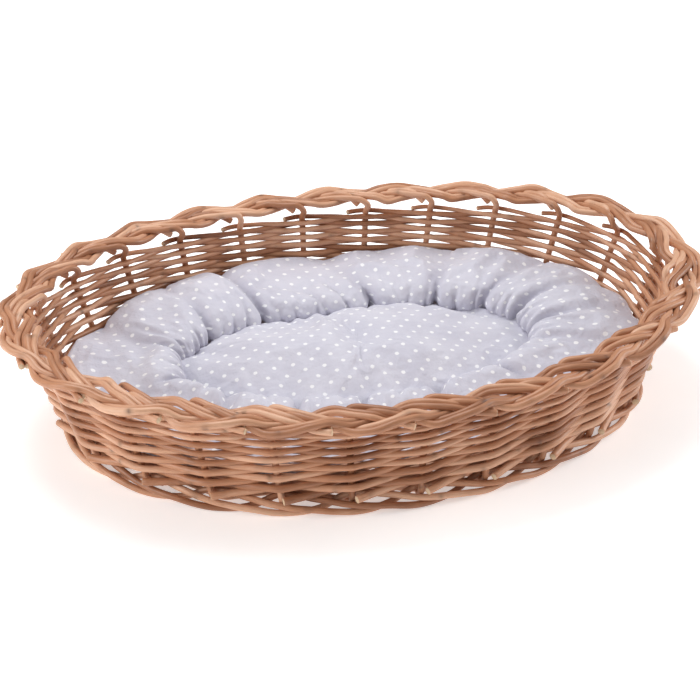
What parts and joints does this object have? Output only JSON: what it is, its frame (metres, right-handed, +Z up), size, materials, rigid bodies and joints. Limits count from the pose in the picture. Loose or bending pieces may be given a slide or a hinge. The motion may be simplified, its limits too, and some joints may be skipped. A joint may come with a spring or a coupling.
{
  "type": "wicker pet bed basket",
  "caption": "Low oval willow basket with randed sides, a rope-like foot wale and a broad plaited border, holding a loose cushion with a puffy bolster round a crowned pad.",
  "frame": {"origin": "middle of the oval ring that the basket stands on, at floor level", "axes": "+X along the basket's length, +Y across it, +Z up"},
  "size_m": [0.713, 0.503, 0.1333],
  "materials": {
    "stake_willow": "peeled willow, steamed to a pinkish tan, satin",
    "weaver_willow": "peeled willow, steamed to a reddish brown, satin",
    "base_willow": "peeled willow, unpolished",
    "dotted_cotton": "pale lavender-grey cotton with small white dots",
    "fibre_filling": "white loose fibre"
  },
  "bodies": {
    "basket": {"stake_01": "stake_willow", "stake_02": "stake_willow", "stake_03": "stake_willow", "stake_04": "stake_willow", "stake_05": "stake_willow", "stake_06": "stake_willow", "stake_07": "stake_willow", "stake_08": "stake_willow", "stake_09": "stake_willow", "stake_10": "stake_willow", "stake_11": "stake_willow", "stake_12": "stake_willow", "stake_13": "stake_willow", "stake_14": "stake_willow", "stake_15": "stake_willow", "stake_16": "stake_willow", "stake_17": "stake_willow", "stake_18": "stake_willow", "stake_19": "stake_willow", "stake_20": "stake_willow", "stake_21": "stake_willow", "stake_22": "stake_willow", "stake_23": "stake_willow", "stake_24": "stake_willow", "siding_rod_01": "weaver_willow", "siding_rod_02": "weaver_willow", "siding_rod_03": "weaver_willow", "siding_rod_04": "weaver_willow", "siding_rod_05": "weaver_willow", "siding_rod_06": "weaver_willow", "siding_rod_07": "weaver_willow", "siding_rod_08": "weaver_willow", "siding_rod_09": "weaver_willow", "siding_rod_10": "weaver_willow", "siding_rod_11": "weaver_willow", "siding_rod_12": "weaver_willow", "siding_rod_13": "weaver_willow", "siding_rod_14": "weaver_willow", "siding_rod_15": "weaver_willow", "siding_rod_16": "weaver_willow", "siding_rod_17": "weaver_willow", "siding_rod_18": "weaver_willow", "siding_rod_19": "weaver_willow", "siding_rod_20": "weaver_willow", "siding_rod_21": "weaver_willow", "siding_rod_22": "weaver_willow", "siding_rod_23": "weaver_willow", "siding_rod_24": "weaver_willow", "foot_wale_rod_1": "weaver_willow", "foot_wale_rod_2": "weaver_willow", "foot_wale_rod_3": "weaver_willow", "base_cross_sticks": "base_willow", "base_long_sticks": "base_willow", "base_weave_outer": "base_willow", "base_weave_inner": "base_willow"},
    "cushion": {"bolster_cover": "dotted_cotton", "bolster_filling": "fibre_filling", "pad_cover": "dotted_cotton", "pad_filling": "fibre_filling"}
  },
  "joints": [
    {"name": "cushion_lift", "type": "slide", "parent": "basket", "child": "cushion", "axis": [0, 0, 1], "range_m": [0, 0.25]}
  ]
}
